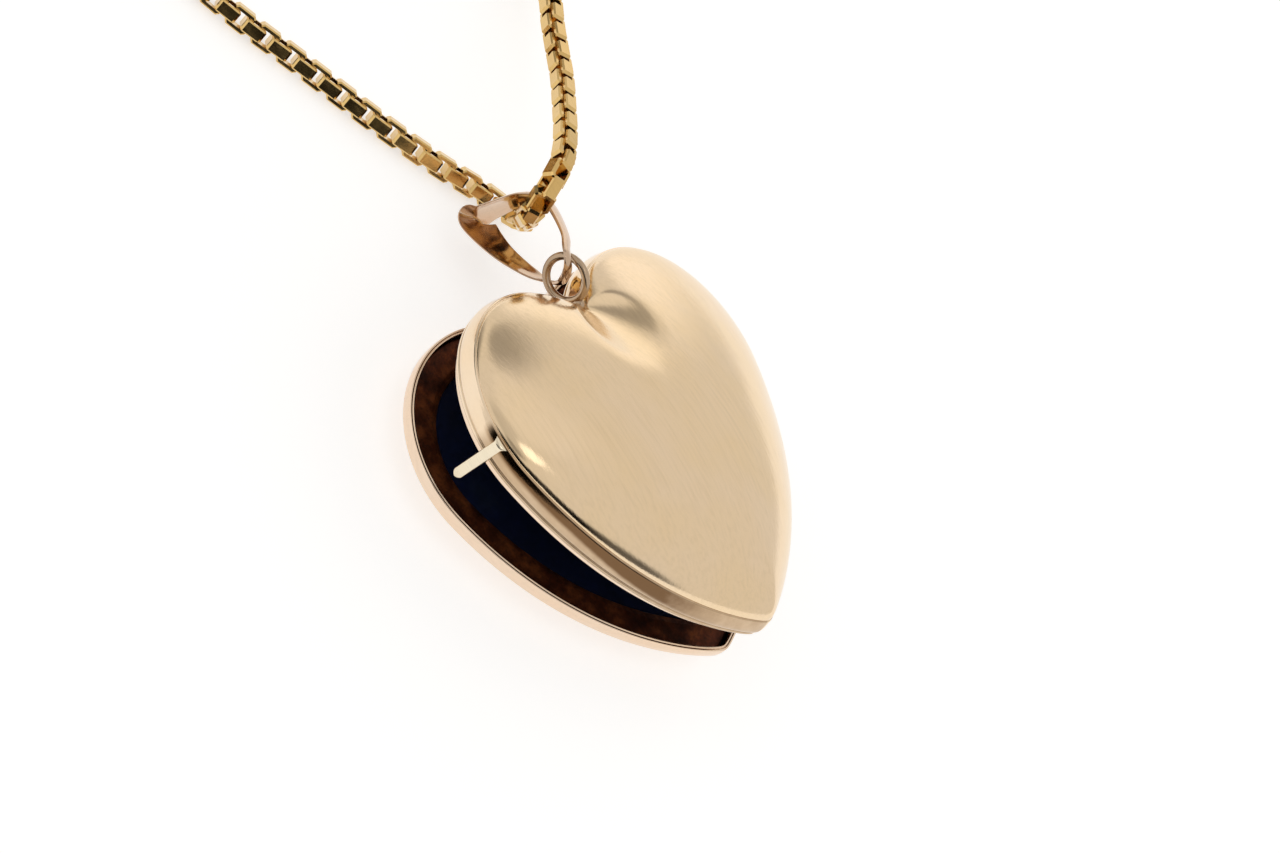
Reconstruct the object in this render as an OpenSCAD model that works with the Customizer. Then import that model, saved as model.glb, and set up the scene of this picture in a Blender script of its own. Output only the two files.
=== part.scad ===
// Heart locket on a box chain, laid flat: back cover up, front cover down on its dome.
// The covers stand a little apart on a side hinge, and the spare chain lies in a neat coil.

/* [Heart] */
// Radius of each lobe of the heart
lobe_r = 8; // [7.6:0.1:8.4]
// Distance of each lobe's centre from the middle line
lobe_x = 6; // [5.8:0.1:6.2]
// Height of the lobes' centres above the tip
lobe_y = 17.5; // [17:0.1:18]
// Thickness of the sheet that the covers are pressed from
wall = 0.32; // [0.28:0.02:0.36]

/* [Covers] */
// Height of the back cover's dome above its band
back_dome_h = 3.7; // [3.4:0.1:4]
// Height of the back cover's side band
back_band_h = 1.63; // [1.5:0.01:1.7]
// Height of the front cover's dome
front_dome_h = 2.17; // [2:0.01:2.3]
// Height of the front cover's side band
front_band_h = 0.88; // [0.8:0.01:1]
// Angle that the covers stand apart at rest
open_angle = 9.5; // [8:0.5:11]
// How far the back cover's inner lip stands below its band
lip_drop = 0.56; // [0.5:0.02:0.6]

/* [Frames and inserts] */
// Inset of the bezel frames' inner edge from the heart's outline
frame_inner_inset = 2.4; // [2.2:0.1:2.6]
// Thickness of a bezel frame
frame_t = 0.35; // [0.3:0.05:0.4]
// Thickness of a clear window
window_t = 0.15; // [0.12:0.01:0.18]
// Thickness of the dark insert behind a window
insert_t = 0.1; // [0.08:0.01:0.12]

/* [Hinge and tab] */
// Outside radius of the hinge knuckles
knuckle_r = 0.5; // [0.48:0.01:0.52]
// Radius of the hinge pin
pin_r = 0.2; // [0.18:0.01:0.22]
// Running clearance round the pin in the front cover's knuckle
pin_gap = 0.04; // [0.02:0.01:0.06]
// Width of the thumb tab
tab_w = 0.76; // [0.7:0.02:0.8]
// How far the thumb tab reaches below the back cover's band
tab_drop = 2.5; // [2.3:0.1:2.6]

/* [Jump ring and bail] */
// Radius of the jump ring at the middle of its wire
ring_r = 1.43; // [1.41:0.01:1.45]
// Radius of the jump ring's wire
ring_wire_r = 0.26; // [0.24:0.01:0.27]
// Thickness of the bail's strap
bail_t = 0.24; // [0.2:0.02:0.26]

/* [Chain and clasp] */
// Width of the box chain
chain_w = 1.5; // [1.4:0.05:1.5]
// Radius of the coil at the middle of its turns
coil_r = 9; // [8.8:0.1:9.2]
// Radius of the clasp ring at the middle of its tube
clasp_r = 2.3; // [2.25:0.05:2.35]
// Outside radius of the clasp's tube
clasp_tube_r = 0.55; // [0.52:0.01:0.56]

/* [Hidden] */

gold = "#d8b45c";
champagne = "#d9c29c";
rose = "#c79b73";
copper = "#5a2c12";
navy = "#0a0f22";

// The outline's arcs: a lobe arc down to the join angle, then a wide side arc to the tip.
join_angle = -16.7;
join_dir = [cos(join_angle), sin(join_angle)];
lobe_c = [lobe_x, lobe_y];
side_r = (lobe_c * lobe_c + 2 * lobe_r * (lobe_c * join_dir) + lobe_r * lobe_r)
    / (2 * (lobe_c * join_dir + lobe_r));
side_c = lobe_c - (side_r - lobe_r) * join_dir;
cleft_y = lobe_y + sqrt(lobe_r * lobe_r - lobe_x * lobe_x);
dome_c = [0, cleft_y * 0.52];

// The whole model is moved so that the locket's box stands centred on the origin.
origin_shift = [-0.358, -16.066, 0];
rim_z = front_dome_h + front_band_h;
hinge_x = lobe_x + lobe_r + knuckle_r + 0.12;
hinge_y = lobe_y;
knuckle_len = 1.5;
knuckle_step = 1.6;
leaf_t = 0.46;
leaf_gap = 0.03;
lip_inset = wall + 0.12;
lip_t = 0.24;
lip_root = 0.7;
frame_inset = wall + 0.01;
front_frame_depth = 0.60;
front_frame_t = front_band_h - front_frame_depth - 0.01;
arc_steps = 22;
side_steps = 16;
dome_rings = 12;

// One dome height rule for every cover: low near the rim, full at the middle.
function dome_rise(r) = pow(1 - r * r, 0.62);

// Angles at which the outline, pulled in by d, leaves the middle line at the cleft and at the tip.
function cleft_turn(d) = 180 - acos(lobe_x / (lobe_r - d));
function tip_turn(d) = -acos(-side_c[0] / (side_r - d));

// Half the outline from the cleft round to the tip, pulled in by d.
function half_outline(d) = concat(
    [for (i = [0:arc_steps])
        let (a = cleft_turn(d) + (join_angle - cleft_turn(d)) * i / arc_steps)
        lobe_c + (lobe_r - d) * [cos(a), sin(a)]],
    [for (i = [1:side_steps])
        let (a = join_angle + (tip_turn(d) - join_angle) * i / side_steps)
        side_c + (side_r - d) * [cos(a), sin(a)]]);

// The whole outline, starting at the cleft; the cleft and the tip lie on the middle line.
function outline(d) = let (half = half_outline(d), n = len(half))
    concat(half, [for (i = [n - 2:-1:1]) [-half[i][0], half[i][1]]]);

// Rounder outline that the dome's upper rings blend into, so the cleft's valley fades out.
function soft_point(p) = let (q = p - dome_c, a = atan2(q[1], q[0]))
    [11.6 * cos(a), 10.6 * sin(a)];

function dome_point(p, r) = let (keep = pow(r, 1.6), q = p - dome_c)
    dome_c + r * (keep * q + (1 - keep) * soft_point(p));

// A heart with true arcs, pulled in by d.
module heart_2d(d = 0) {
    corner = lobe_c + 16 * join_dir;
    for (s = [-1, 1])
        translate([s * lobe_x, lobe_y]) circle(r = lobe_r - d, $fn = 96);
    intersection() {
        translate(side_c) circle(r = side_r - d, $fn = 180);
        translate([-side_c[0], side_c[1]]) circle(r = side_r - d, $fn = 180);
        polygon([[20, -5], corner, lobe_c, [-lobe_x, lobe_y], [-corner[0], corner[1]], [-20, -5]]);
    }
}

module heart_ring(outer, inner, h) {
    difference() {
        linear_extrude(h) heart_2d(outer);
        translate([0, 0, -1]) linear_extrude(h + 2) heart_2d(inner);
    }
}

// A pressed dome: outer skin, inner skin and the flat foot between them.
module dome_shell(h) {
    skins = [[0, h], [wall, h - wall]];
    loop = outline(0);
    n = len(loop);
    rings = [for (s = skins) for (k = [0:dome_rings - 1])
        let (r = sqrt(1 - pow(k / dome_rings, 2)), pts = outline(s[0]))
        for (p = pts)
            let (q = dome_point(p, r)) [q[0], q[1], s[1] * dome_rise(r)]];
    points = concat(rings, [[dome_c[0], dome_c[1], h], [dome_c[0], dome_c[1], h - wall]]);
    inner0 = n * dome_rings;
    top_o = 2 * n * dome_rings;
    faces = concat(
        [for (k = [0:dome_rings - 2]) for (i = [0:n - 1]) let (j = (i + 1) % n)
            each [[k * n + i, (k + 1) * n + i, (k + 1) * n + j], [k * n + i, (k + 1) * n + j, k * n + j]]],
        [for (i = [0:n - 1]) let (j = (i + 1) % n, b = (dome_rings - 1) * n) [b + i, top_o, b + j]],
        [for (k = [0:dome_rings - 2]) for (i = [0:n - 1]) let (j = (i + 1) % n, b = inner0)
            each [[b + k * n + j, b + (k + 1) * n + j, b + (k + 1) * n + i],
                  [b + k * n + j, b + (k + 1) * n + i, b + k * n + i]]],
        [for (i = [0:n - 1]) let (j = (i + 1) % n, b = inner0 + (dome_rings - 1) * n) [b + j, top_o + 1, b + i]],
        [for (i = [0:n - 1]) let (j = (i + 1) % n) each [[i, j, inner0 + j], [i, inner0 + j, inner0 + i]]]);
    polyhedron(points = points, faces = faces, convexity = 6);
}

// Frames of reference: the whole model, and the back cover raised about the hinge.
module place() { translate(origin_shift) children(); }
module on_back() {
    place() translate([hinge_x, 0, rim_z]) rotate([0, open_angle, 0]) translate([-hinge_x, 0, 0]) children();
}
module on_front() { place() translate([0, 0, rim_z]) children(); }

// Back cover, measured from the plane where the covers meet.
module back_dome() { color(champagne) on_back() translate([0, 0, back_band_h]) dome_shell(back_dome_h); }
module back_band() { color(champagne) on_back() heart_ring(0, wall, back_band_h); }
module back_lip() {
    color(gold) on_back() {
        translate([0, 0, -lip_drop]) heart_ring(lip_inset, lip_inset + lip_t, lip_drop + lip_root);
        translate([0, 0, 0.2]) heart_ring(wall, lip_inset + lip_t / 2, lip_root - 0.2);
    }
}
module back_frame() {
    color(copper) on_back() translate([0, 0, lip_root]) heart_ring(frame_inset, frame_inner_inset, frame_t);
}
module back_window() {
    color("#8fb0c0", 0.4) on_back() translate([0, 0, lip_root + frame_t]) linear_extrude(window_t) heart_2d(0.6);
}
module back_insert() {
    color(navy) on_back() translate([0, 0, lip_root + frame_t + window_t]) linear_extrude(insert_t) heart_2d(0.6);
}

// A hinge knuckle on its leaf: side is 1 for a leaf above the meeting plane, -1 below it.
module knuckle(side, bore_r) {
    leaf_w = hinge_x - lobe_x - lobe_r + 0.9;
    difference() {
        union() {
            rotate([90, 0, 0]) cylinder(r = knuckle_r, h = knuckle_len, center = true, $fn = 48);
            difference() {
                translate([-leaf_w, -knuckle_len / 2, side > 0 ? leaf_gap : -leaf_gap - leaf_t])
                    cube([leaf_w, knuckle_len, leaf_t]);
                children();
            }
        }
        rotate([90, 0, 0]) cylinder(r = bore_r, h = knuckle_len + 1, center = true, $fn = 48);
    }
}
module band_cut(y) {
    translate([-hinge_x, -y, -5]) linear_extrude(10) heart_2d(0);
}
module back_knuckle(y) {
    color(rose) on_back() translate([hinge_x, y, 0]) knuckle(1, pin_r) band_cut(y);
}
module back_knuckle_upper() { back_knuckle(hinge_y + knuckle_step); }
module back_knuckle_lower() { back_knuckle(hinge_y - knuckle_step); }
module hinge_pin() {
    color(gold) on_back() translate([hinge_x, hinge_y, 0]) rotate([90, 0, 0])
        cylinder(r = pin_r, h = 2 * knuckle_step + knuckle_len, center = true, $fn = 48);
}
module thumb_tab() {
    tab_t = 0.36;
    x = -lobe_x - lobe_r - 0.03;
    color(gold) on_back() translate([x, lobe_y, -tab_drop]) {
        translate([-tab_t, -tab_w / 2, tab_w / 2]) cube([tab_t, tab_w, tab_drop + back_band_h - tab_w / 2]);
        translate([0, 0, tab_w / 2]) rotate([0, -90, 0]) cylinder(r = tab_w / 2, h = tab_t, $fn = 32);
    }
}

// The jump ring stands across the cover in its cleft.
ring_stand = 0.32;
ring_centre = [0, cleft_y + ring_stand + ring_wire_r + ring_r, back_band_h + 0.4];
module jump_ring() {
    color(rose) on_back() translate(ring_centre) rotate([0, 90, 0])
        rotate_extrude($fn = 64) translate([ring_r, 0]) circle(r = ring_wire_r, $fn = 32);
}
module ring_foot() {
    foot_w = 0.48;
    color(rose) on_back() difference() {
        translate([-foot_w / 2, cleft_y - 0.1, 1.3]) cube([foot_w, ring_stand + ring_wire_r + 0.1, 1.1]);
        translate([0, 0, -1]) linear_extrude(5) heart_2d(0);
        translate(ring_centre) rotate([0, 90, 0])
            rotate_extrude($fn = 64) translate([ring_r, 0]) circle(r = ring_wire_r, $fn = 32);
    }
}

// Front cover, measured from its rim plane downwards.
module front_dome() {
    color(rose) on_front() translate([0, 0, -front_band_h]) mirror([0, 0, 1]) dome_shell(front_dome_h);
}
module front_band() { color(rose) on_front() translate([0, 0, -front_band_h]) heart_ring(0, wall, front_band_h); }
front_frame_z = -front_frame_depth - front_frame_t;
module front_frame() {
    color(copper) on_front() translate([0, 0, front_frame_z])
        heart_ring(frame_inset, frame_inner_inset, front_frame_t);
}
module front_window() {
    color("#8fb0c0", 0.4) on_front() translate([0, 0, front_frame_z - window_t])
        linear_extrude(window_t) heart_2d(frame_inner_inset - 0.4);
}
module front_insert() {
    color(navy) on_front() translate([0, 0, front_frame_z - window_t - insert_t])
        linear_extrude(insert_t) heart_2d(frame_inner_inset - 0.4);
}
module front_knuckle() {
    color(rose) on_front() translate([hinge_x, hinge_y, 0]) knuckle(-1, pin_r + pin_gap) band_cut(hinge_y);
}
module catch_bead() {
    bead_r = 0.07;
    bead_len = 0.8;
    color(gold) on_front() translate([wall - lobe_x - lobe_r, lobe_y, -0.33])
        rotate([90, 0, 0]) cylinder(r = bead_r, h = bead_len, center = true, $fn = 24);
}

// The bail's strap is carried round a closed route: x, y, z and the strap's width at each place.
bail_route = [
    [1.2, 25.35, 5.5, 0.7], [1.25, 25.9, 5.2, 0.9], [1.15, 27.2, 4.7, 1.4], [1.1, 28.8, 4.0, 2.1],
    [1.5, 30.4, 3.1, 2.9], [1.9, 31.4, 2.5, 3.2], [2.4, 31.5, 2.9, 3.1], [3.2, 31.2, 4.0, 2.7],
    [3.9, 30.9, 5.0, 2.2], [4.1, 30.3, 5.9, 1.7], [3.5, 29.3, 6.8, 1.3], [2.6, 28.1, 7.6, 1.0],
    [1.5, 27.0, 8.4, 0.8], [0.45, 26.3, 8.95, 0.7], [-0.05, 25.8, 9.15, 0.7], [-0.1, 25.3, 8.8, 0.7],
    [0.1, 25.0, 8.2, 0.7], [0.4, 24.85, 7.5, 0.7], [0.75, 24.8, 6.8, 0.7], [1.05, 24.95, 6.1, 0.7]
];
strap_dir = [-0.868, 0.335, 0.367] / norm([-0.868, 0.335, 0.367]);
function unit(v) = v / norm(v);
function xyz(p) = [p[0], p[1], p[2]];
module bail() {
    n = len(bail_route);
    points = [for (i = [0:n - 1])
        let (p = xyz(bail_route[i]),
            along = unit(xyz(bail_route[(i + 1) % n]) - xyz(bail_route[(i + n - 1) % n])),
            w = bail_route[i][3] / 2,
            out = unit(cross(along, strap_dir)) * bail_t / 2)
        each [p + w * strap_dir + out, p - w * strap_dir + out, p - w * strap_dir - out, p + w * strap_dir - out]];
    faces = [for (i = [0:n - 1]) for (k = [0:3])
        let (a = 4 * i, b = 4 * ((i + 1) % n), m = (k + 1) % 4)
        each [[a + k, b + k, b + m], [a + k, b + m, a + m]]];
    color(rose) place() polyhedron(points = points, faces = faces, convexity = 6);
}

// The chain's strands are swept along hand-chosen routes, one eight-sided ring at each point.
left_route = [
    [3.7, 29.7, 4.2], [4.9, 29.9, 2.8], [5.7, 30.6, 1.5], [5.7, 31.8, 0.8], [4.7, 33.4, 0.8],
    [2.8, 35.9, 0.8], [0.4, 39.6, 0.8], [-2.8, 45.1, 0.8], [-5.0, 48.8, 0.8], [-6.6, 52.0, 0.8],
    [-7.6, 55.2, 0.8], [-8.1, 58.2, 0.8], [-8.2, 61.0, 0.8]
];
right_route = [
    [3.7, 29.7, 4.2], [2.6, 29.6, 5.7], [1.8, 29.6, 7.1], [1.7, 29.9, 8.4], [2.5, 30.5, 9.2],
    [4.0, 31.3, 9.2], [6.1, 32.7, 8.5], [8.6, 34.6, 7.4], [11.0, 36.5, 6.3], [13.1, 38.5, 5.3],
    [14.9, 40.3, 4.5], [16.7, 42.0, 3.8], [18.2, 43.6, 2.9], [19.5, 45.4, 2.0], [20.3, 47.5, 1.2],
    [20.5, 49.8, 0.8], [20.2, 52.2, 0.8], [19.6, 54.6, 0.8], [18.9, 56.6, 0.85], [18.45, 58.0, 0.95]
];
tail_route = [[12.9, 73.3, 1.7], [14.9, 72.0, 1.2], [16.6, 70.4, 0.9], [17.8, 68.5, 0.85], [18.3, 66.95, 0.95]];
module tube(route, d) {
    n = len(route);
    sides = 8;
    points = [for (i = [0:n - 1])
        let (along = unit(route[min(i + 1, n - 1)] - route[max(i - 1, 0)]),
            side = unit(cross(along, unit([0.1, 0.2, 1]))),
            up = cross(side, along))
        for (k = [0:sides - 1])
            let (a = 360 * k / sides) route[i] + d / 2 * (cos(a) * side + sin(a) * up)];
    faces = concat(
        [[for (k = [0:sides - 1]) k]],
        [[for (k = [sides - 1:-1:0]) (n - 1) * sides + k]],
        [for (i = [0:n - 2]) for (k = [0:sides - 1])
            let (a = i * sides, b = a + sides, m = (k + 1) % sides)
            each [[a + k, b + k, b + m], [a + k, b + m, a + m]]]);
    polyhedron(points = points, faces = faces, convexity = 6);
}
module chain_left_strand() { color(gold) place() tube(left_route, chain_w); }
module chain_right_strand() { color(gold) place() tube(right_route, chain_w); }
module chain_tail() { color(gold) place() tube(tail_route, chain_w); }

coil_centre = [3.2, 65.5];
coil_columns = 3;
coil_layers = 2;
turn_step = 1.6;
module chain_coil() {
    color(gold) place() translate([coil_centre[0], coil_centre[1], 0.02]) rotate_extrude($fn = 72)
        translate([coil_r - coil_columns * turn_step / 2, 0])
            square([coil_columns * turn_step, coil_layers * turn_step]);
}

// Clasp: a hollow ring with a sliding tongue, lying flat beside the coil.
clasp_centre = [18.9, 63.6, 0.66];
clasp_bore_r = 0.3;
tongue_r = 0.25;
gap_half = 40;
slot_from = 50;
slot_turn = 84;
tongue_turn = 70;
knob_angle = 57;
module arc_tube(r, from, turn) {
    rotate([0, 0, from]) rotate_extrude(angle = turn, $fn = 72) translate([clasp_r, 0]) circle(r = r, $fn = 32);
}
module on_clasp() { place() translate(clasp_centre) rotate([0, 0, 100]) children(); }
module clasp_body() {
    color(gold) on_clasp() difference() {
        arc_tube(clasp_tube_r, gap_half, 360 - 2 * gap_half);
        arc_tube(clasp_bore_r, gap_half - 5, 205);
        rotate([0, 0, slot_from]) rotate_extrude(angle = slot_turn, $fn = 72)
            translate([clasp_r, -0.25]) square([2, 0.5]);
    }
}
module clasp_tongue() {
    color(gold) on_clasp() {
        arc_tube(tongue_r, 1 - gap_half, gap_half + 56);
        rotate([0, 0, knob_angle]) translate([clasp_r, 0, 0]) rotate([0, 90, 0])
            cylinder(r = 0.2, h = 0.95, $fn = 24);
    }
}
module clasp_spring() {
    color("silver") on_clasp() difference() {
        arc_tube(0.27, 168, 66);
        arc_tube(0.17, 163, 76);
    }
}
eye_r = 0.75;
eye_wire_r = 0.2;
eye_at = clasp_r + clasp_tube_r + eye_r + eye_wire_r - 0.1;
eye_turn = 165;
module clasp_eye() {
    color(gold) on_clasp() rotate([0, 0, eye_turn]) translate([eye_at, 0, 0])
        rotate_extrude($fn = 48) translate([eye_r, 0]) circle(r = eye_wire_r, $fn = 24);
}

// End rings join the chain's last links to the clasp; each stands on edge through its partner.
end_ring_r = 0.8;
end_ring_wire_r = 0.18;
module end_ring(turn, reach) {
    place() translate(clasp_centre) rotate([0, 0, turn])
        translate([reach, 0, 0.02 + end_ring_r + end_ring_wire_r - clasp_centre[2]]) rotate([90, 0, 0])
        rotate_extrude($fn = 48) translate([end_ring_r, 0]) circle(r = end_ring_wire_r, $fn = 24);
}
module chain_end_ring_right() { color(gold) end_ring(100 + eye_turn, eye_at + 0.85); }
module chain_end_ring_left() { color(gold) end_ring(100, clasp_r + 0.05); }

back_dome();
back_band();
back_lip();
back_frame();
back_window();
back_insert();
back_knuckle_upper();
back_knuckle_lower();
hinge_pin();
thumb_tab();
jump_ring();
ring_foot();
front_dome();
front_band();
front_frame();
front_window();
front_insert();
front_knuckle();
catch_bead();
bail();
chain_left_strand();
chain_right_strand();
chain_coil();
chain_tail();
chain_end_ring_left();
chain_end_ring_right();
clasp_body();
clasp_tongue();
clasp_spring();
clasp_eye();
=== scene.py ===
import bpy
import math
import numpy as np
from mathutils import Matrix, Vector


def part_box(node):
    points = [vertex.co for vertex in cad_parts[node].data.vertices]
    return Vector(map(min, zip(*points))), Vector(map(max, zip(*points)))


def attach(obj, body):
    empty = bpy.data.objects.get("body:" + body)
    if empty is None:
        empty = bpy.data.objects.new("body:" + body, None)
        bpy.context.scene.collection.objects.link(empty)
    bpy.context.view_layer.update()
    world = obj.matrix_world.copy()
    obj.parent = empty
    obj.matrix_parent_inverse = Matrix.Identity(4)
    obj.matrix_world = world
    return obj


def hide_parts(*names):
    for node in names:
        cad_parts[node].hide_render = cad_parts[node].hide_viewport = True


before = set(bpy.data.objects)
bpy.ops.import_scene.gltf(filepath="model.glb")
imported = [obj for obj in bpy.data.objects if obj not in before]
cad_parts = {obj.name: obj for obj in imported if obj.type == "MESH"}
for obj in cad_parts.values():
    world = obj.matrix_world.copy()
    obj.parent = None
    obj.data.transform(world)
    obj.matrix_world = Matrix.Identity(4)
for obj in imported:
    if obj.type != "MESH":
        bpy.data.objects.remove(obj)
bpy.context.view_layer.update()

# Shared lengths, in millimetres

# Heart plan: two lobe circles and two wide side arcs that meet at the tip.
heart = {
    "lobeRadius": 8.0,
    "lobeX": 6.0,
    "lobeY": 17.5,
    "joinAngle": -16.7,      # where a lobe's circle hands over to its side arc, in degrees
    "cleftSteps": 8,
    "lobeSteps": 150,
    "sideSteps": 110,
    "tipRound": 0.40,        # how much the tip is eased
    "tipStrength": 0.42,     # strength of that easing
    "cleftRound": 0.10,      # how much the cleft is eased
    "cleftSlope": 1.13,      # slope of the outline beside the cleft
    "cleftSkip": 1.2,        # degrees of lobe that the cleft's own points take
}
# How the two covers lie: the front one flat on its dome, the back one raised about the hinge.
pose = {"openAngle": 9.5, "hingeX": 14.62, "hingeY": 17.5, "rimZ": 3.05, "wall": 0.32}

bandLow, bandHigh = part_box("front_band")
rowShift = np.array([(bandLow[0] + bandHigh[0]) / 2, bandLow[1], 0.0])


def toRow(points):
    # Millimetres from the heart's tip become metres in the shared frame.
    return np.asarray(points, float) * 0.001 + rowShift


def raiseBack(points):
    # Back cover's own coordinates turned about the hinge line by the opening angle.
    p = np.asarray(points, float)
    a = math.radians(pose["openAngle"])
    x = p[..., 0] - pose["hingeX"]
    z = p[..., 2]
    return np.stack([pose["hingeX"] + x * math.cos(a) + z * math.sin(a), p[..., 1],
                     pose["rimZ"] - x * math.sin(a) + z * math.cos(a)], -1)


def lowerFront(points):
    # Front cover's own coordinates lifted to the height of the rim.
    return np.asarray(points, float) + np.array([0.0, 0.0, pose["rimZ"]])


# Camera

viewing = {
    "towards": (-0.7186, -0.0370, 0.6944),   # from the locket to the camera
    "right": (0.6063, -0.5223, 0.5996),
    "target": (0.4738, 11.778, 7.0687),      # millimetres from the heart's tip
    "distance": 271.8,
    "lens": 124.3,
    "shift": (-0.0251, 0.0273),
}


def makeCamera():
    back = Vector(viewing["towards"]).normalized()
    right = Vector(viewing["right"])
    right = (right - back * right.dot(back)).normalized()
    up = back.cross(right)
    data = bpy.data.cameras.new("mainCamera")
    data.lens = viewing["lens"]
    data.sensor_width = 36.0
    data.shift_x, data.shift_y = viewing["shift"]
    data.clip_start, data.clip_end = 0.01, 5.0
    camera = bpy.data.objects.new("mainCamera", data)
    place = Vector(toRow(viewing["target"])) + back * viewing["distance"] * 0.001
    turn = Matrix((right, up, back)).transposed().to_4x4()
    camera.matrix_world = Matrix.Translation(place) @ turn
    bpy.context.scene.collection.objects.link(camera)
    bpy.context.scene.camera = camera


makeCamera()
print("camera placed")

# Mesh helpers


def meshObject(name, points, faceSizes, corners, body, slot, material, smooth=True, values=None):
    # Whole arrays go into the mesh, and a closed shape whose signed volume is negative is turned round.
    points = np.asarray(points, float)
    faceSizes = np.asarray(faceSizes, np.int32)
    corners = np.asarray(corners, np.int32)
    starts = np.concatenate([[0], np.cumsum(faceSizes)[:-1]]).astype(np.int32)
    a, b, c = points[corners[starts]], points[corners[starts + 1]], points[corners[starts + 2]]
    d = points[corners[starts + faceSizes - 1]]
    middle = points.mean(0)
    volume = np.einsum("ij,ij->i", a - middle, np.cross(b - middle, c - middle)).sum()
    volume += np.einsum("ij,ij->i", a - middle, np.cross(c - middle, d - middle)).sum()
    mesh = bpy.data.meshes.new(name)
    mesh.vertices.add(len(points))
    mesh.vertices.foreach_set("co", points.astype(np.float32).ravel())
    mesh.loops.add(len(corners))
    mesh.loops.foreach_set("vertex_index", corners)
    mesh.polygons.add(len(faceSizes))
    mesh.polygons.foreach_set("loop_start", starts)
    mesh.polygons.foreach_set("loop_total", faceSizes)
    mesh.polygons.foreach_set("use_smooth", np.full(len(faceSizes), smooth))
    if values is not None:
        # Optional per-point values go into an attribute; the back band's painted reflection is carried this
        # way.
        layer = mesh.attributes.new("paintedReflection", "FLOAT", "POINT")
        layer.data.foreach_set("value", np.asarray(values, np.float32).ravel())
    mesh.update(calc_edges=True)
    mesh.validate()
    if volume < 0:
        mesh.flip_normals()
    made = bpy.data.objects.new(name, mesh)
    bpy.context.scene.collection.objects.link(made)
    mesh.materials.append(material)
    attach(made, body)
    return made


def gridFaces(rows, columns, wrapRows):
    # Quads between neighbouring rows and columns of a grid. Columns always wrap, rows where asked.
    r = np.arange(rows if wrapRows else rows - 1)
    r, c = np.meshgrid(r, np.arange(columns), indexing="ij")
    rn, cn = (r + 1) % rows, (c + 1) % columns
    corners = [r * columns + c, r * columns + cn, rn * columns + cn, rn * columns + c]
    return np.stack(corners, -1).reshape(-1, 4)


def closeEnds(grid, points, sizes, corners):
    # Each open end of the rows is fanned to its middle point.
    rows, columns = grid.shape[:2]
    i = np.arange(columns)
    j = (i + 1) % columns
    n, base = len(points), (rows - 1) * columns
    first = np.stack([j, i, np.full(columns, n)], -1)
    last = np.stack([base + i, base + j, np.full(columns, n + 1)], -1)
    points = np.concatenate([points, [grid[0].mean(0), grid[-1].mean(0)]])
    sizes = np.concatenate([sizes, np.full(2 * columns, 3)])
    return points, sizes, np.concatenate([corners, first.ravel(), last.ravel()])


def gridObject(name, grid, wrapRows=False, **more):
    # A grid of points (rows, columns) is skinned, and rows that don't wrap are closed.
    quads = gridFaces(*grid.shape[:2], wrapRows)
    points, sizes, corners = grid.reshape(-1, 3), np.full(len(quads), 4), quads.ravel()
    if not wrapRows:
        points, sizes, corners = closeEnds(grid, points, sizes, corners)
    return meshObject(name, points, sizes, corners, **more)


def joinShapes(parts):
    # Several (points, sizes, corners) shapes become one by shifting the corner numbers.
    points, sizes, corners, count = [], [], [], 0
    for p, s, c in parts:
        points.append(np.asarray(p, float))
        sizes.append(np.asarray(s))
        corners.append(np.asarray(c) + count)
        count += len(p)
    return np.concatenate(points), np.concatenate(sizes), np.concatenate(corners)


def unit(v):
    # Each vector divided by its own length.
    v = np.asarray(v, float)
    return v / np.maximum(np.linalg.norm(v, axis=-1, keepdims=True), 1e-12)


def smoothStep(x):
    # Three times x squared less two times x cubed, between 0 and 1.
    x = np.clip(x, 0.0, 1.0)
    return x * x * (3 - 2 * x)


def splineThrough(points, perSpan, closed):
    # Cubic through every point: each span blends its four neighbours with the Catmull-Rom weights.
    p = np.asarray(points, float)
    n = len(p)
    if closed:
        idx = np.arange(n)
        p0, p1, p2, p3 = p[idx - 1], p[idx], p[(idx + 1) % n], p[(idx + 2) % n]
    else:
        q = np.concatenate([[2 * p[0] - p[1]], p, [2 * p[-1] - p[-2]]])
        p0, p1, p2, p3 = q[:-3], q[1:-2], q[2:-1], q[3:]
    t = (np.arange(perSpan) / perSpan)[None, :, None]
    p0, p1, p2, p3 = (x[:, None, :] for x in (p0, p1, p2, p3))
    curve = 0.5 * (2 * p1 + (p2 - p0) * t + (2 * p0 - 5 * p1 + 4 * p2 - p3) * t ** 2
                   + (3 * p1 - p0 - 3 * p2 + p3) * t ** 3)
    curve = curve.reshape(-1, p.shape[1])
    return curve if closed else np.concatenate([curve, p[-1:]])


def resample(curve, distances):
    # Points at given distances along a line of points.
    steps = np.linalg.norm(np.diff(curve[:, :3], axis=0), axis=1)
    run = np.concatenate([[0], np.cumsum(steps)])
    return np.stack([np.interp(distances, run, curve[:, k]) for k in range(curve.shape[1])], -1)


def lengthOf(curve):
    # Sum of the straight steps along a line of points.
    return np.linalg.norm(np.diff(curve[:, :3], axis=0), axis=1).sum()


def facedFrames(curve, facing):
    # The side direction is the part of the facing direction that is square to the tangent.
    tangent = unit(np.gradient(curve, axis=0))
    facing = np.broadcast_to(np.asarray(facing, float), curve.shape)
    side = unit(facing - tangent * (facing * tangent).sum(-1, keepdims=True))
    return tangent, side


# Heart outline


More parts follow.
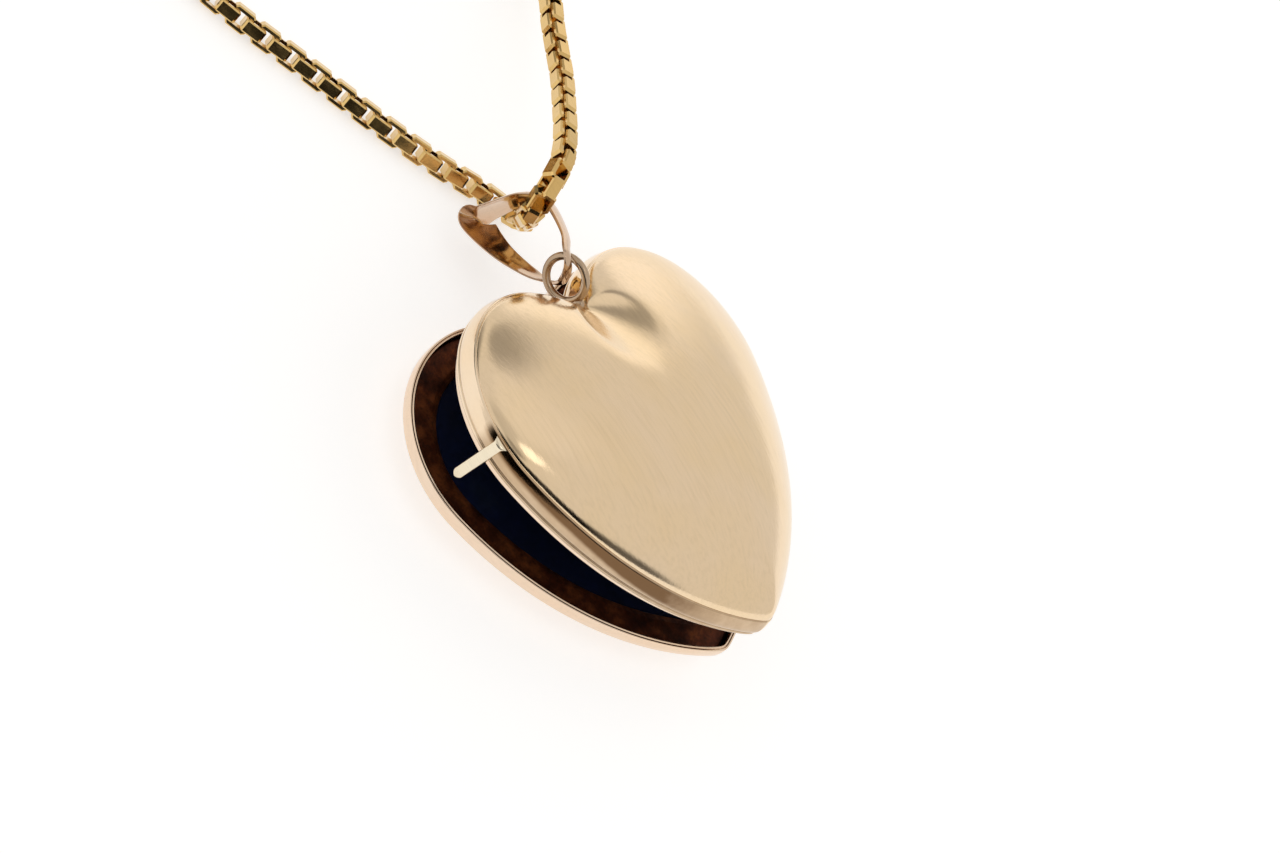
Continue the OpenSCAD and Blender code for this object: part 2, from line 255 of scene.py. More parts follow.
def heartLoop(inset):
    # Parallel curve of the heart: an arc of radius d about the cleft, the lobe circle of radius r - d,
    # and the side arc of radius R - d; the other half is its mirror image.
    r, cx, cy = heart["lobeRadius"], heart["lobeX"], heart["lobeY"]
    join = math.radians(heart["joinAngle"])
    along = cx * math.cos(join) + cy * math.sin(join)
    big = (cx * cx + cy * cy + 2 * r * along + r * r) / (2 * (along + r))
    sx, sy = cx - (big - r) * math.cos(join), cy - (big - r) * math.sin(join)
    deep = math.sqrt(r * r - cx * cx)
    tip = -math.acos(-sx / (big - inset))
    ease = lambda n: (1 - np.cos(np.pi * np.arange(n + 1) / n)) / 2
    if inset > 0:
        start = math.pi - math.atan2(deep, cx)
        c = np.linspace(-math.pi / 2, -math.atan2(deep, cx), heart["cleftSteps"] + 1)[:-1]
        first = np.stack([inset * np.cos(c), cy + deep + inset * np.sin(c)])
        a = start + (join - start) * ease(heart["lobeSteps"])
    else:
        start = math.pi - math.acos(cx / (r - inset))
        c = start - np.radians(heart["cleftSkip"]) * np.linspace(0, 1, heart["cleftSteps"] + 1)[:-1]
        first = np.stack([cx + (r - inset) * np.cos(c), cy + (r - inset) * np.sin(c)])
        start -= math.radians(heart["cleftSkip"])
        a = start + (join - start) * ease(heart["lobeSteps"])
    b = join + (tip - join) * ease(heart["sideSteps"])[1:]
    x = np.concatenate([first[0], cx + (r - inset) * np.cos(a), sx + (big - inset) * np.cos(b)])
    y = np.concatenate([first[1], cy + (r - inset) * np.sin(a), sy + (big - inset) * np.sin(b)])
    x[0] = x[-1] = 0.0
    tipLift = heart["tipStrength"] * (np.hypot(x, heart["tipRound"]) - np.abs(x))
    cleftLift = heart["cleftSlope"] * (np.hypot(x, heart["cleftRound"]) - np.abs(x)) * (np.abs(x) < 3)
    cleftLift = cleftLift * max(0, 1 - 2 * inset)
    y = y + np.where(y < 12, tipLift, cleftLift)
    return np.stack([np.concatenate([x, -x[-2:0:-1]]), np.concatenate([y, y[-2:0:-1]])], -1)


loopCache = {}


def heartLoopAt(inset):
    # Each inset's loop is worked out once and kept.
    key = round(inset, 5)
    if key not in loopCache:
        loopCache[key] = heartLoop(key)
    return loopCache[key]


def sweepProfile(profile):
    # A closed profile of (inset, height) pairs is carried round the heart.
    rows = [np.concatenate([heartLoopAt(d), np.full((len(heartLoopAt(d)), 1), z)], 1) for d, z in profile]
    return np.stack(rows, 0)


def roundedProfile(points, radius, steps=4):
    # Each corner of a closed polygon is replaced by a short arc through two points a radius away.
    p = np.asarray(points, float)
    out = []
    for i, q in enumerate(p):
        r = radius[i] if hasattr(radius, "__len__") else radius
        a, b = p[i - 1] - q, p[(i + 1) % len(p)] - q
        la, lb = np.linalg.norm(a), np.linalg.norm(b)
        if r <= 0:
            out.append(q)
            continue
        s, e = q + a / la * min(r, la * 0.48), q + b / lb * min(r, lb * 0.48)
        for t in np.linspace(0, 1, steps + 1):
            out.append((1 - t) ** 2 * s + 2 * t * (1 - t) * q + t * t * e)
    return np.array(out)


# Domes: the plan shrinks towards its centre as it blends from the heart to a rounder shape and its cleft
# opens out, so a soft valley runs in from the cleft, and the height rises from the rim by the rule below.
domeShape = {
    "centreY": 11.85,
    "softX": 11.6,           # half width of the rounder shape
    "softY": 10.6,           # half height of the rounder shape
    "blendPower": 1.15,
    "valleyOpen": 2.6,       # how fast the cleft's corner rounds out towards the middle
    "risePower": 0.60,
    "risePowerTop": 0.66,    # over the lobes
    "fanReach": 7.0,         # how far the hollow fan round the cleft reaches
    "fanPower": 0.80,
    "fanSharp": 30.0,        # how crisply the fan meets the dome
    "ringsOut": 72,
    "ringsIn": 20,
}


def domeSkin(inset, height, rings, fanShift=0.0):
    # Ring angle f runs from the rim to the pole: scale = cos f, height = (1 - scale squared) ^ power.
    # A fan about the cleft, whose height grows with the distance from it, caps that height softly.
    f = (np.arange(rings) / rings * (math.pi / 2))[:, None]
    scale = np.cos(f)
    loop = heartLoopAt(inset) - np.array([0, domeShape["centreY"]])
    turn = np.arctan2(loop[:, 1], loop[:, 0])
    soft = np.stack([domeShape["softX"] * np.cos(turn), domeShape["softY"] * np.sin(turn)], -1)
    keep = (scale ** domeShape["blendPower"])[..., None]
    x = np.abs(loop[None, :, 0])
    opened = domeShape["valleyOpen"] * (1 - scale)
    lift = heart["cleftSlope"] * (np.hypot(x, opened) - x) * smoothStep((loop[None, :, 1] - 2.0) / 6.0)
    held = np.stack([np.broadcast_to(loop[None, :, 0], lift.shape), loop[None, :, 1] + lift], -1)
    plan = scale[..., None] * (keep * held + (1 - keep) * soft[None])
    top = smoothStep((np.sin(turn) - 0.1) / 0.8)
    power = domeShape["risePower"] + (domeShape["risePowerTop"] - domeShape["risePower"]) * top
    z = height * (1 - scale ** 2) ** power[None]
    y = plan[..., 1] + domeShape["centreY"]
    deep = heart["lobeY"] + math.sqrt(heart["lobeRadius"] ** 2 - heart["lobeX"] ** 2)
    away = np.maximum(np.hypot(plan[..., 0], y - deep - 0.3) - fanShift, 0.02)
    fan = height * (away / domeShape["fanReach"]) ** domeShape["fanPower"]
    n = domeShape["fanSharp"]
    z = z / (1 + (z / fan) ** n) ** (1 / n)
    return np.stack([plan[..., 0], y, z], -1)


def domeGrid(inset, height, wall):
    # Outer skin from pole to rim, then an inner skin one wall inside it from rim to pole.
    outer = domeSkin(inset, height, domeShape["ringsOut"])[::-1]
    inner = domeSkin(inset + wall, height - wall, domeShape["ringsIn"], 0.35)
    return np.concatenate([outer, inner], 0)


# Materials


class Recipe:
    # A small helper that adds nodes and joins them by name.
    def __init__(self, name):
        self.material = bpy.data.materials.new(name)
        self.material.use_nodes = True
        self.tree = self.material.node_tree
        self.shader = self.tree.nodes["Principled BSDF"]
        self.place = self.tree.nodes.new("ShaderNodeTexCoord").outputs["Object"]

    def node(self, kind, inputs=None, **settings):
        n = self.tree.nodes.new(kind)
        for key, value in settings.items():
            setattr(n, key, value)
        for key, value in (inputs or {}).items():
            if isinstance(value, bpy.types.NodeSocket):
                self.tree.links.new(value, n.inputs[key])
            else:
                n.inputs[key].default_value = value
        return n

    def mapped(self, turn=(0, 0, 0), scale=(1, 1, 1)):
        turned = tuple(math.radians(a) for a in turn)
        n = self.node("ShaderNodeMapping", {"Vector": self.place, "Rotation": turned, "Scale": scale})
        return n.outputs[0]

    def noise(self, vector, scale, detail=4.0, rough=0.55):
        return self.node("ShaderNodeTexNoise", {"Vector": vector, "Scale": scale, "Detail": detail,
                                                "Roughness": rough}).outputs["Fac"]

    def ramp(self, value, stops):
        n = self.node("ShaderNodeValToRGB", {"Fac": value})
        marks = n.color_ramp.elements
        for i, (at, colour) in enumerate(stops):
            mark = marks[i] if i < 2 else marks.new(at)
            mark.position = at
            mark.color = (*colour, 1.0)
        return n.outputs["Color"]

    def span(self, value, low, high, fromLow=0.0, fromHigh=1.0):
        return self.node("ShaderNodeMapRange", {"Value": value, "From Min": fromLow, "From Max": fromHigh,
                                                "To Min": low, "To Max": high}).outputs[0]

    def mix(self, factor, a, b, blend="MIX"):
        n = self.node("ShaderNodeMix", data_type="RGBA", blend_type=blend)
        for index, value in ((0, factor), (6, a), (7, b)):
            if isinstance(value, bpy.types.NodeSocket):
                self.tree.links.new(value, n.inputs[index])
            elif index:
                n.inputs[index].default_value = (*value, 1.0)
            else:
                n.inputs[index].default_value = value
        return n.outputs[2]

    def maths(self, operation, a, b):
        return self.node("ShaderNodeMath", {0: a, 1: b}, operation=operation).outputs[0]

    def bump(self, height, strength, distance):
        n = self.node("ShaderNodeBump", {"Height": height, "Strength": strength, "Distance": distance})
        return n.outputs[0]

    def finish(self, colour=None, rough=None, normal=None, **plain):
        for key, value in (("Base Color", colour), ("Roughness", rough), ("Normal", normal)):
            if value is None:
                continue
            if isinstance(value, bpy.types.NodeSocket):
                self.tree.links.new(value, self.shader.inputs[key])
            else:
                self.shader.inputs[key].default_value = (*value, 1.0) if hasattr(value, "__len__") else value
        for key, value in plain.items():
            self.shader.inputs[key.replace("_", " ")].default_value = value
        return self.material


def goldFinish(name, base, tint, rough, grainTurn, grain, wear, specks=0.0, withPaintedReflection=False):
    # Metal plate: slow tint drift, long fine grain along one direction, and small dark specks; where asked, a
    # painted reflection is multiplied in from a per-point value.
    m = Recipe(name)
    drift = m.noise(m.mapped(), 160.0, 3.0)
    lines = m.noise(m.mapped(turn=grainTurn, scale=(1, 0.045, 1)), 5200.0, 5.0, 0.6)
    fine = m.noise(m.mapped(turn=grainTurn, scale=(1, 0.10, 1)), 1700.0, 4.0, 0.6)
    colour = m.mix(m.span(drift, 0.0, 1.0, 0.35, 0.65), base, tint)
    colour = m.mix(m.span(lines, 0.0, wear, 0.45, 0.75), colour, tuple(c * 0.72 for c in base))
    if specks:
        cells = m.node("ShaderNodeTexVoronoi", {"Vector": m.place, "Scale": 420.0, "Randomness": 1.0})
        dots = cells.outputs["Distance"]
        pick = m.noise(m.place, 310.0, 2.0)
        spot = m.maths("MULTIPLY", m.span(dots, 1.0, 0.0, 0.02, 0.06), m.span(pick, 0.0, specks, 0.62, 0.66))
        colour = m.mix(spot, colour, (0.16, 0.09, 0.05))
    if withPaintedReflection:
        # The band's painted reflection value runs from clean plate through tan to dark brown: painted
        # reflection of dark surroundings.
        reflectionAmount = m.node("ShaderNodeAttribute", attribute_name="paintedReflection").outputs["Fac"]
        reflectionAmount = m.maths("ADD", reflectionAmount, m.span(fine, -0.06, 0.06, 0.3, 0.7))
        reflectionColour = m.ramp(reflectionAmount, [(0.12, (1.0, 1.0, 1.0)), (0.50, (0.62, 0.56, 0.50)),
                              (0.95, (0.22, 0.155, 0.105))])
        colour = m.mix(1.0, colour, reflectionColour, "MULTIPLY")
    roughness = m.span(fine, rough[0], rough[1], 0.3, 0.7)
    normal = m.bump(lines, grain, 0.00002)
    return m.finish(colour, roughness, normal, Metallic=1.0)


# Each row: material's name, base colour, tint, smoothest and roughest, grain's turn, grain, wear,
# then specks and the painted reflection where a finish has them.
finishes = {
    "dome": goldFinish("satinChampagne", (0.86, 0.655, 0.41), (0.86, 0.67, 0.46), (0.09, 0.18),
                       (0, 0, 38), 0.30, 0.25, 1.0),
    # The band's finish multiplies in a painted reflection of dark surroundings.
    "band": goldFinish("polishedChampagne", (0.88, 0.68, 0.46), (0.88, 0.71, 0.52), (0.04, 0.09),
                       (0, 0, 90), 0.08, 0.10, 0.0, True),
    "front": goldFinish("polishedRose", (0.87, 0.66, 0.48), (0.88, 0.70, 0.54), (0.07, 0.15),
                        (0, 0, 60), 0.12, 0.2),
    "wire": goldFinish("roseWire", (0.56, 0.42, 0.29), (0.42, 0.30, 0.20), (0.14, 0.26),
                       (0, 0, 20), 0.12, 0.3),
    "bail": goldFinish("roseStrap", (0.74, 0.55, 0.40), (0.62, 0.45, 0.32), (0.10, 0.20),
                       (20, 0, 40), 0.10, 0.3),
    "chain": goldFinish("yellowChain", (0.78, 0.54, 0.22), (0.70, 0.46, 0.17), (0.08, 0.20),
                        (0, 30, 0), 0.10, 0.35),
    "trim": goldFinish("paleTrim", (0.84, 0.68, 0.46), (0.80, 0.64, 0.42), (0.10, 0.20),
                       (0, 0, 0), 0.10, 0.2),
    "tab": goldFinish("paleTab", (0.88, 0.78, 0.60), (0.84, 0.72, 0.52), (0.14, 0.24),
                      (90, 0, 0), 0.12, 0.25),
}


def copperFinish():
    # Dark antique copper: brown patches of two sizes with a few redder spots.
    m = Recipe("antiqueCopper")
    broad = m.noise(m.place, 700.0, 4.0, 0.6)
    small = m.noise(m.place, 2600.0, 4.0, 0.65)
    colour = m.ramp(broad, [(0.32, (0.04, 0.009, 0.004)), (0.50, (0.14, 0.034, 0.012)),
                            (0.68, (0.36, 0.105, 0.03))])
    colour = m.mix(m.span(small, 0.0, 0.55, 0.45, 0.7), colour, (0.030, 0.012, 0.006))
    return m.finish(colour, m.span(small, 0.30, 0.60), m.bump(small, 0.5, 0.00004), Metallic=0.75)


def insertFinish():
    # Blue-black card with soft cloudy patches and fine dust.
    m = Recipe("nightCard")
    cloud = m.noise(m.place, 260.0, 4.0, 0.6)
    dust = m.noise(m.place, 4200.0, 2.0, 0.5)
    colour = m.ramp(cloud, [(0.30, (0.004, 0.008, 0.036)), (0.55, (0.006, 0.016, 0.085)),
                            (0.75, (0.018, 0.032, 0.085))])
    colour = m.mix(m.span(dust, 0.0, 0.5, 0.70, 0.76), colour, (0.05, 0.05, 0.06))
    return m.finish(colour, 0.55, m.bump(dust, 0.2, 0.00002), Specular_IOR_Level=0.3)


def windowFinish():
    # Thin clear sheet with a faint uneven polish.
    m = Recipe("clearWindow")
    haze = m.noise(m.place, 900.0, 3.0)
    return m.finish((0.010, 0.012, 0.018), m.span(haze, 0.02, 0.06), None, Alpha=0.30, IOR=1.45)


def steelFinish():
    # Drawn wire with fine lines along Z.
    m = Recipe("drawnSteel")
    lines = m.noise(m.mapped(scale=(1, 1, 0.1)), 4000.0, 3.0)
    return m.finish((0.55, 0.55, 0.56), m.span(lines, 0.2, 0.4), m.bump(lines, 0.2, 0.00002), Metallic=1.0)


finishes["copper"] = copperFinish()
finishes["insert"] = insertFinish()
finishes["window"] = windowFinish()
finishes["steel"] = steelFinish()
print("finishes made")

# Chain

chainMake = {
    "width": 1.5,
    "pitch": 1.0,
    "linkLength": 1.56,
    "strip": 0.28,
    "breadth": 0.86,
    "corner": 0.17,      # chamfer at a link's four corners
    "edge": 0.09,        # chamfer along the strip's outer edges
    "leftRoll": -14.0,
    "rightRoll": 45.0,
    "leftUpright": 26.0,     # length after which the links start to turn their faces straight up
    "rightUpright": 28.0,
    "uprightOver": 9.0,      # length that this turn takes
}
# Routes in millimetres from the heart's tip, from the bail outwards.
leftRoute = [
    (3.7, 29.7, 4.2), (4.9, 29.9, 2.8), (5.7, 30.6, 1.5), (5.7, 31.8, 0.8), (4.7, 33.4, 0.8),
    (2.8, 35.9, 0.8), (0.4, 39.6, 0.8), (-2.8, 45.1, 0.8), (-5.0, 48.8, 0.8), (-6.6, 52.0, 0.8),
    (-7.6, 55.2, 0.8), (-8.1, 58.2, 0.8), (-8.2, 61.0, 0.8),
]
rightRoute = [
    (3.7, 29.7, 4.2), (2.6, 29.6, 5.7), (1.8, 29.6, 7.1), (1.7, 29.9, 8.4), (2.5, 30.5, 9.2),
    (4.0, 31.3, 9.2), (6.1, 32.7, 8.5), (8.6, 34.6, 7.4), (11.0, 36.5, 6.3), (13.1, 38.5, 5.3),
    (14.9, 40.3, 4.5), (16.7, 42.0, 3.8), (18.2, 43.6, 2.9), (19.5, 45.4, 2.0), (20.3, 47.5, 1.2),
    (20.5, 49.8, 0.8), (20.2, 52.2, 0.8), (19.6, 54.6, 0.8), (18.9, 56.6, 0.85), (18.45, 58.0, 0.95),
]
tailRoute = [(12.9, 73.3, 1.7), (14.9, 72.0, 1.2), (16.6, 70.4, 0.9), (17.8, 68.5, 0.85), (18.3, 66.95, 0.95)]
coilMake = {
    "centre": (3.2, 65.5),
    "columns": (10.6, 9.0, 7.4, 7.4, 9.0, 10.6),        # radius of each turn
    "layers": (0.82, 0.82, 0.82, 2.42, 2.42, 2.42),     # height of each turn
    "startAngle": 180.0,
    "endAngle": 46.0,
    "perTurn": 36,
}


def coilPoints():
    # Clockwise turns whose radius and height step from one column and layer to the next near each turn's end.
    turns = len(coilMake["columns"]) - 1 + ((coilMake["startAngle"] - coilMake["endAngle"]) % 360) / 360
    t = np.arange(int(turns * coilMake["perTurn"]) + 1) / coilMake["perTurn"]
    k = np.minimum(t.astype(int), len(coilMake["columns"]) - 1)
    nxt = np.minimum(k + 1, len(coilMake["columns"]) - 1)
    w = smoothStep((t - k - 0.72) / 0.28)
    col, lay = np.array(coilMake["columns"]), np.array(coilMake["layers"])
    r, z = col[k] * (1 - w) + col[nxt] * w, lay[k] * (1 - w) + lay[nxt] * w
    a = np.radians(coilMake["startAngle"] - 360 * t)
    return np.stack([coilMake["centre"][0] + r * np.cos(a), coilMake["centre"][1] + r * np.sin(a), z], -1)


def boxLink():
    # Outline of an eight-cornered frame carried by a six-cornered strip section.
    half, side = chainMake["linkLength"] / 2, chainMake["width"] / 2
    b, e, s, c = chainMake["breadth"] / 2, chainMake["edge"], chainMake["strip"], chainMake["corner"]

    def ring(inset, cut):
        h, w = half - inset, side - inset
        return np.array([(h, w - cut), (h - cut, w), (cut - h, w), (-h, w - cut),
                         (-h, cut - w), (cut - h, -w), (h - cut, -w), (h, cut - w)])
    eased, inner = c - e * 0.4, c * 0.35
    section = [(e, eased, -b), (0, c, e - b), (0, c, b - e), (e, eased, b), (s, inner, b), (s, inner, -b)]
    rows = np.stack([np.concatenate([ring(d, cut), np.full((8, 1), n)], 1) for d, cut, n in section], 0)
    quads = gridFaces(6, 8, True)
    a = rows.reshape(-1, 3)[quads]
    flip = np.einsum("ij,ij->", a[:, 0], np.cross(a[:, 1] - a[:, 0], a[:, 2] - a[:, 0])) < 0
    return rows.reshape(-1, 3), quads[:, ::-1] if flip else quads


def chainShape(route, facing, roll, odd):
    # A link stands at every pitch along the route, and each is turned a quarter from the last.
    pitch = chainMake["pitch"]
    whole = lengthOf(route)
    count = int(whole / pitch)
    fine = resample(route, np.linspace(0, whole, int(whole * 8)))
    run = np.linspace(0, whole, len(fine))
    tangent, side = facedFrames(fine, facing(run))
    at = (np.arange(count) + 0.5) * pitch
    pick = lambda values: np.stack([np.interp(at, run, values[:, k]) for k in range(3)], -1)
    centre, t, s = pick(fine), unit(pick(tangent)), unit(pick(side))
    c = np.cross(t, s)
    angle = np.radians(roll(at) + 90.0 * ((np.arange(count) + odd) % 2))[:, None]
    wide, thin = s * np.cos(angle) + c * np.sin(angle), c * np.cos(angle) - s * np.sin(angle)
    points, quads = boxLink()
    world = (centre[:, None] + points[None, :, :1] * t[:, None] + points[None, :, 1:2] * wide[:, None]
             + points[None, :, 2:] * thin[:, None])
    corners = quads[None] + (np.arange(count) * len(points))[:, None, None]
    return world.reshape(-1, 3), corners.reshape(-1), np.full(count * len(quads), 4)


def makeChain(name, route, facing, roll, odd, nodes):
    points, corners, sizes = chainShape(route, facing, roll, odd)
    made = meshObject(name, toRow(points), sizes, corners, "back_cover", "gold_chain", finishes["chain"],
                      smooth=False)
    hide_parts(*nodes)
    return made


leftSpan = splineThrough(leftRoute, 6, False)
coilSpan = coilPoints()
tailSpan = splineThrough([tuple(coilSpan[-1])] + tailRoute, 6, False)
longRoute = np.concatenate([leftSpan[:-1], splineThrough([leftRoute[-1], tuple(coilSpan[2])], 4, False)[:-1],
                            coilSpan[2:-1], tailSpan])
shortRoute = splineThrough(rightRoute, 6, False)


def facingAlong(start):
    # The link faces turn from the viewing direction to straight up once the chain is past start.
    def facing(run):
        w = smoothStep((run - start) / chainMake["uprightOver"])[:, None]
        return np.array(viewing["towards"]) * (1 - w) + np.array([0, 0, 1.0]) * w
    return facing


leftChain = makeChain("boxChainLeft", longRoute, facingAlong(chainMake["leftUpright"]),
                      lambda run: chainMake["leftRoll"] + 0 * run, 0,
                      ("chain_left_strand", "chain_coil", "chain_tail"))
rightChain = makeChain("boxChainRight", shortRoute, facingAlong(chainMake["rightUpright"]),
                       lambda run: chainMake["rightRoll"] * smoothStep((run - 1) / 6.0), 1,
                       ("chain_right_strand",))
print("chain made,", len(leftChain.data.polygons) + len(rightChain.data.polygons), "faces")

# Covers

backMake = {
    "dome": 3.7,         # height of the dome above the band
    "band": 1.63,        # height of the band
    "bulge": 0.13,       # how far the band swells outwards
    "draft": 0.07,       # how far the band leans in at its top
    "lipDrop": 0.56,     # how far the lip stands below the rim
    "lipInset": 0.43,
    "lipWall": 0.23,
}
frontMake = {
    "dome": 2.17,        # depth of the dome below the band
    "band": 0.88,        # depth of the band
    "frameOuter": 0.36,  # inset of the frame's outer edge
    "frameInner": 2.4,   # inset of the frame's inner edge
    "frameTop": 0.60,    # from the rim down to the frame
    "frameHeight": 0.27,
}


def bandPaintedReflection(swept):
    # Painted reflection of dark surroundings on the polished band: tan begins just above the tab and runs to
    # the tip. The upper part is a browner painted reflection: it grows wider below the middle of the side,
    # fades out near the tip, and leaves a clean line at the top edge.
    y, z, x = swept[..., 1], swept[..., 2], swept[..., 0]
    side = smoothStep((19.4 - y) / 1.6)
    reach = smoothStep((y - 4.0) / 7.0)
    upper = smoothStep((z - 0.82 + 0.45 * (1 - reach)) / 0.35) * smoothStep((1.60 - z) / 0.04)
    return side * (0.46 + 0.54 * upper * smoothStep((y - 1.0) / 5.0)) * (np.abs(x) > 0.2)


def makeBackCover():
    # Band, lip and frame are profiles of (inset, height) pairs carried round the heart, under the dome.
    wall, top = pose["wall"], backMake["band"]
    t = np.linspace(0, 1, 15)
    draft = backMake["draft"]
    swell = backMake["bulge"] * np.sin(math.pi * t ** 0.62)
    face = np.stack([0.012 + draft * t ** 1.2 - swell, 0.33 + (top - 0.38) * t], -1)
    a = np.linspace(0.15, math.pi - 0.25, 9)
    bead = np.stack([0.05 - 0.06 * np.sin(a), 0.137 - 0.125 * np.cos(a)], -1)
    foot = [(wall, 0.045), (wall - 0.03, 0.012), (0.09, 0.012)]
    groove = [(0.075, 0.275), (0.05, 0.31)]
    arris = [(draft + 0.05, top - 0.022), (draft + 0.10, top - 0.004), (draft + 0.12, top),
             (wall - 0.02, top), (wall, top - 0.02)]
    profile = np.concatenate([foot, bead, groove, face, arris])
    swept = sweepProfile(profile)
    # The band's per-point values are its painted reflection of dark surroundings.
    band = gridObject("backBand", toRow(raiseBack(swept)), wrapRows=True, body="back_cover",
                      slot="champagne_cover", material=finishes["band"], values=bandPaintedReflection(swept))
    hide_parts("back_band")
    grid = domeGrid(draft + 0.09, backMake["dome"], wall)
    grid[..., 2] += top
    dome = gridObject("backDome", toRow(raiseBack(grid)), body="back_cover", slot="champagne_cover",
                      material=finishes["dome"])
    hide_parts("back_dome")
    d, w, drop = backMake["lipInset"], backMake["lipWall"], -backMake["lipDrop"]
    profile = roundedProfile([(wall, 0.70), (wall, 0.06), (d, 0.04), (d, -0.17), (d + 0.035, -0.19),
                              (d + 0.035, -0.21), (d, -0.23), (d, drop), (d + w, drop), (d + w, 0.70)],
                             [0.02, 0.02, 0.02, 0.01, 0.006, 0.006, 0.01, 0.07, 0.05, 0.02])
    lip = gridObject("backLip", toRow(raiseBack(sweepProfile(profile))), wrapRows=True, body="back_cover",
                     slot="gold_trim", material=finishes["front"])
    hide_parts("back_lip")
    profile = roundedProfile([(0.34, 1.05), (0.34, 0.71), (1.5, 0.71), (2.3, 0.82), (2.4, 0.90),
                              (2.4, 1.05)], 0.05)
    ring = gridObject("backFrame", toRow(raiseBack(sweepProfile(profile))), wrapRows=True, body="back_cover",
                      slot="copper_frame", material=finishes["copper"])
    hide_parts("back_frame")


def makeFrontCover():
    # Made as the back cover is, with heights measured down from the rim.
    wall, low = pose["wall"], -frontMake["band"]
    profile = np.array([(wall, low), (0.02, low), (0.0, low + 0.05), (-0.03, low * 0.55), (0.0, -0.06),
                        (0.012, -0.02), (0.05, -0.012), (0.12, -0.012), (0.145, -0.025), (0.16, -0.07),
                        (0.185, -0.075), (0.2, -0.03), (0.225, -0.012), (0.285, -0.012), (0.312, -0.03),
                        (wall, -0.06)])
    band = gridObject("frontBand", toRow(lowerFront(sweepProfile(profile))), wrapRows=True,
                      body="front_cover", slot="rose_cover", material=finishes["front"])
    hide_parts("front_band")
    grid = domeGrid(0.025, frontMake["dome"], wall)
    grid[..., 2] = low - grid[..., 2]
    dome = gridObject("frontDome", toRow(lowerFront(grid)), body="front_cover", slot="rose_cover",
                      material=finishes["front"])
    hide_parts("front_dome")
    a, b = frontMake["frameOuter"], frontMake["frameInner"]
    z, h = -frontMake["frameTop"], frontMake["frameHeight"]
    profile = roundedProfile([(a, z - h), (a, z - 0.02), (a + 0.12, z + 0.02), (b - 0.45, z - 0.02),
                              (b - 0.08, z - 0.16), (b, z - 0.22), (b, z - h)], 0.06)
    ring = gridObject("frontFrame", toRow(lowerFront(sweepProfile(profile))), wrapRows=True,
                      body="front_cover", slot="copper_frame", material=finishes["copper"])
    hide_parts("front_frame")


makeBackCover()
makeFrontCover()
print("covers made")

# Hinge, tab, ring and bail

hingeMake = {
    "knuckle": 0.5,      # outer radius of a knuckle
    "pin": 0.2,          # radius of the pin
    "length": 1.5,       # length of one knuckle
    "step": 1.6,         # from the middle of one knuckle to the next
    "leaf": 0.46,        # thickness of a knuckle's leaf
    "gap": 0.03,         # between a leaf and the line where the covers meet
    "bore": 0.245,       # radius inside the front knuckle, which turns on the pin
    "leafFar": 0.86,     # from the hinge line to a leaf's far edge
    "leafNear": 0.28,    # from the hinge line to a leaf's near edge
    "leafRound": 0.06,
}


def turnedAboutY(profile, steps, centre):
    # A profile of (radius, place along the axis) pairs is turned about a line that lies along Y.
    turn = np.arange(steps) / steps * 2 * math.pi
    p = np.asarray(profile, float)
    along = np.broadcast_to(p[:, 1:] + centre[1], (len(p), steps))
    return np.stack([p[:, :1] * np.cos(turn) + centre[0], along, p[:, :1] * np.sin(turn) + centre[2]], -1)


def roundedBar(low, high, radius, steps=5):
    # Rounded rectangle in X and Z carried along Y, drawn in by a quarter circle at both ends.
    low, high = np.asarray(low, float), np.asarray(high, float)
    half, centre = (high - low) / 2, (high + low) / 2
    turn = np.linspace(0, math.pi / 2, steps)
    ends = np.stack([radius * (1 - np.sin(turn)), radius * (1 - np.cos(turn))], -1)
    rows = []
    for inset, along in np.concatenate([np.stack([ends[:, 0], -half[1] + ends[:, 1]], -1),
                                        np.stack([ends[::-1, 0], half[1] - ends[::-1, 1]], -1)]):
        hx, hz = half[0] - inset, half[2] - inset
        r = max(radius - inset, 0.004)
        corner = []
        for k, (sx, sz) in enumerate([(1, 1), (-1, 1), (-1, -1), (1, -1)]):
            a = k * math.pi / 2 + turn
            corner.append(np.stack([sx * (hx - r) + r * np.cos(a), sz * (hz - r) + r * np.sin(a)], -1))
        ring = np.concatenate(corner)
        rows.append(np.stack([ring[:, 0] + centre[0], np.full(len(ring), along + centre[1]),
                              ring[:, 1] + centre[2]], -1))
    return np.stack(rows, 0)


def gridShape(grid, wrapRows=False):
    # A skinned grid as points, sizes and corners, with every face turned outwards.
    quads = gridFaces(*grid.shape[:2], wrapRows)
    points, sizes, corners = grid.reshape(-1, 3), np.full(len(quads), 4), quads.ravel()
    a = points[quads]
    middle = points.mean(0)
    flip = np.einsum("ij,ij->", a[:, 0] - middle, np.cross(a[:, 2] - a[:, 0], a[:, 3] - a[:, 1])) < 0
    if not wrapRows:
        points, sizes, corners = closeEnds(grid, points, sizes, corners)
    if flip:
        starts = np.concatenate([[0], np.cumsum(sizes)[:-1]])
        face = np.repeat(np.arange(len(sizes)), sizes)
        corners = corners[(2 * starts + sizes - 1)[face] - np.arange(len(corners))]
    return points, sizes, corners


